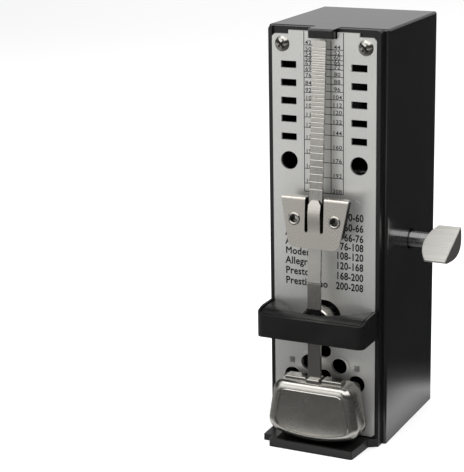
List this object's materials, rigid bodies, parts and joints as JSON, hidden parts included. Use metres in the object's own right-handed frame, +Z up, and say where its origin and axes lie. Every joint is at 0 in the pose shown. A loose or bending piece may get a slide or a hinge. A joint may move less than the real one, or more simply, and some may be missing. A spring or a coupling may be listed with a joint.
{
  "type": "mechanical metronome",
  "caption": "Small clockwork tower metronome in a gloss black case with a silver dial, leaf pendulum, sliding weight and winding key.",
  "frame": {"origin": "centre of the case footprint on the surface the metronome stands on", "axes": "+Z up, the dial faces -Y, +X towards the winding key"},
  "size_m": [0.0507, 0.0549, 0.121],
  "materials": {
    "gloss_black": "gloss",
    "black_plastic": "satin",
    "silver_plate": "satin",
    "polished_nickel": "polished",
    "nickel": "satin",
    "dark_zinc": "matte",
    "rod_steel": "satin",
    "blackened_steel": "satin",
    "steel": "satin",
    "key_steel": "brushed",
    "zinc_plate": "satin",
    "brass": "satin",
    "blued_spring": "satin"
  },
  "bodies": {
    "case": {"base_plate": "black_plastic", "base_screws": "blackened_steel", "case_shell": "gloss_black", "dial_plate": "silver_plate", "dial_rivets": "polished_nickel", "dial_screws": "polished_nickel", "front_bearing_plate": "zinc_plate", "front_bush": "black_plastic", "front_frame": "black_plastic", "mainspring": "blued_spring", "movement_pillars": "steel", "movement_plate_left": "zinc_plate", "movement_plate_right": "zinc_plate", "pendulum_guard": "black_plastic", "pillar_screws": "steel", "rear_bearing_plate": "zinc_plate", "rear_bush": "black_plastic", "spring_post": "steel"},
    "pendulum": {"lower_rod": "rod_steel", "rod_clamp": "blackened_steel", "pendulum_hub": "polished_nickel", "hub_rivets": "steel", "pendulum_arbor": "steel", "front_pallet": "steel", "rear_pallet": "steel", "lower_weight": "nickel", "lower_weight_back": "dark_zinc", "lower_weight_rivet": "steel"},
    "rod": {"pendulum_rod": "rod_steel"},
    "slider": {"slider_housing": "nickel", "slider_weight": "dark_zinc", "slider_rivets": "polished_nickel"},
    "great_wheel_set": {"great_wheel": "brass", "click": "steel", "click_screw": "steel", "click_spring": "blued_spring"},
    "key": {"key_knob": "key_steel", "key_shaft": "steel", "winding_arbor": "steel", "ratchet_wheel": "steel"},
    "intermediate_set": {"intermediate_arbor": "steel", "intermediate_pinion": "steel", "intermediate_wheel": "brass"},
    "escape_set": {"escape_arbor": "steel", "escape_pinion": "steel", "escape_wheel": "brass"}
  },
  "joints": [
    {"name": "pendulum_swing", "type": "hinge", "parent": "case", "child": "pendulum", "pos_m": [0, -0.0301, 0.0375], "axis": [0, 1, 0], "range_deg": [-12, 12]},
    {"name": "rod_release", "type": "hinge", "parent": "pendulum", "child": "rod", "pos_m": [0, -0.0301, 0.05], "axis": [1, 0, 0], "range_deg": [0, 3.66]},
    {"name": "slider_slide", "type": "slide", "parent": "rod", "child": "slider", "axis": [0, 0.0638, 0.998], "range_m": [-0.006, 0.042]},
    {"name": "great_wheel_turn", "type": "hinge", "parent": "case", "child": "great_wheel_set", "pos_m": [0, -0.0007, 0.0572], "axis": [1, 0, 0], "continuous": true},
    {"name": "key_wind", "type": "hinge", "parent": "great_wheel_set", "child": "key", "pos_m": [0, -0.0007, 0.0572], "axis": [1, 0, 0], "continuous": true},
    {"name": "intermediate_turn", "type": "hinge", "parent": "case", "child": "intermediate_set", "pos_m": [0, 0.00118, 0.04131], "axis": [1, 0, 0], "continuous": true},
    {"name": "escape_turn", "type": "hinge", "parent": "case", "child": "escape_set", "pos_m": [0, 0.0095, 0.0461], "axis": [1, 0, 0], "continuous": true}
  ],
  "couplings": [
    {"joint": "intermediate_turn", "follows": "great_wheel_turn", "ratio": -5.4},
    {"joint": "escape_turn", "follows": "great_wheel_turn", "ratio": 27}
  ]
}
